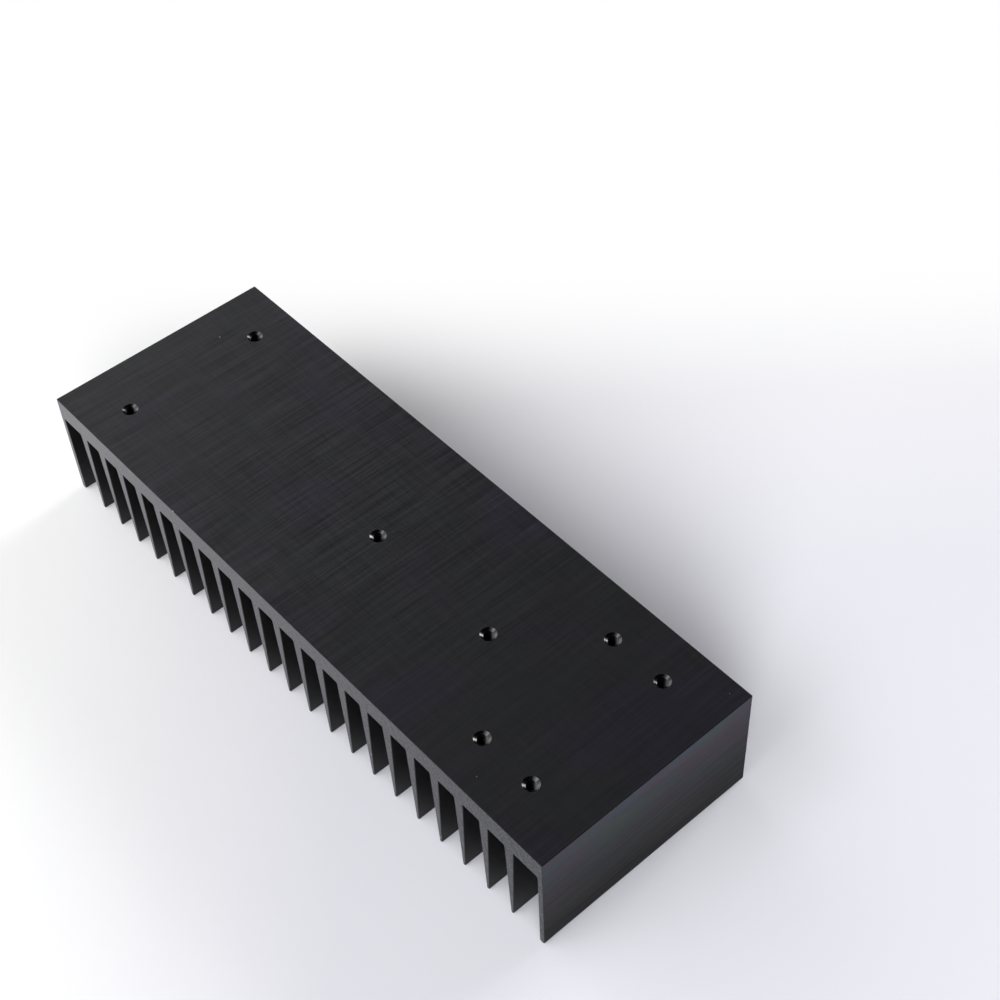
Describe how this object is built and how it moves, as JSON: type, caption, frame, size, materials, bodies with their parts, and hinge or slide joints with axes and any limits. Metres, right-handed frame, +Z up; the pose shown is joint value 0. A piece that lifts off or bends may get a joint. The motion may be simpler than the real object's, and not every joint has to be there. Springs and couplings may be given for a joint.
{
  "type": "heat sink",
  "caption": "Black anodised aluminium heat sink: a flat mounting plate with tapped holes over a comb of straight tapered cooling fins.",
  "frame": {"origin": "middle of the footprint, on the surface that the fin tips stand on", "axes": "+X across the fins along the long side, +Y along the fins, +Z up out of the mounting face"},
  "size_m": [0.236, 0.08, 0.0425],
  "materials": {
    "black_anodised_aluminium": "black anodised, satin"
  },
  "bodies": {
    "root": {"heat_sink": "black_anodised_aluminium"}
  },
  "joints": []
}
